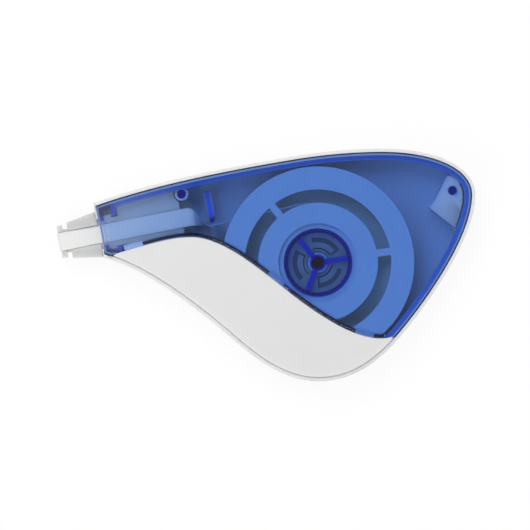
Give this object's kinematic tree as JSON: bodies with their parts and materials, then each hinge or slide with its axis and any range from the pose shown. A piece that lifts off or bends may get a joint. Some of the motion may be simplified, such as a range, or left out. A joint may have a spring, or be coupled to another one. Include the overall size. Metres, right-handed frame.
{
  "type": "correction tape",
  "caption": "Pocket correction tape: a white case with a blue see-through window, a notched applicator head, and a feed roll and take-up reel on one axle.",
  "frame": {"origin": "centre of the bounding box in X and Y, on the flat back that the case lies on", "axes": "+X from the applicator tip to the tail, +Y towards the case's crown, +Z from the back to the window"},
  "size_m": [0.0976, 0.054, 0.0153],
  "materials": {
    "case_white": "satin moulded polystyrene",
    "window_blue": "clear blue moulded polystyrene, polished",
    "panel_white": "satin moulded polystyrene",
    "head_white": "smooth moulded acetal",
    "reel_plastic": "natural moulded polystyrene",
    "clutch_plastic": "natural moulded acetal",
    "washer_rubber": "matt silicone rubber",
    "tape_white": "matt white coating on a thin backing",
    "backing_film": "bare glassine backing"
  },
  "bodies": {
    "case": {"back_shell": "case_white", "window_cover": "window_blue", "grip_panel": "panel_white", "applicator_head": "head_white", "tape_run": "tape_white", "backing_run": "backing_film"},
    "feed": {"feed_reel": "reel_plastic", "feed_roll": "tape_white", "clutch_plate": "clutch_plastic"},
    "take_up": {"take_up_reel": "reel_plastic", "take_up_flange": "reel_plastic", "backing_roll": "backing_film", "friction_washer": "washer_rubber"}
  },
  "joints": [
    {"name": "feed_spin", "type": "hinge", "parent": "case", "child": "feed", "pos_m": [0.01222, 0.00055, 0.0103], "axis": [0, 0, 1], "continuous": true},
    {"name": "take_up_spin", "type": "hinge", "parent": "case", "child": "take_up", "pos_m": [0.01222, 0.00055, 0.0046], "axis": [0, 0, 1], "continuous": true}
  ],
  "couplings": [
    {"joint": "take_up_spin", "follows": "feed_spin", "ratio": 0.6765}
  ]
}
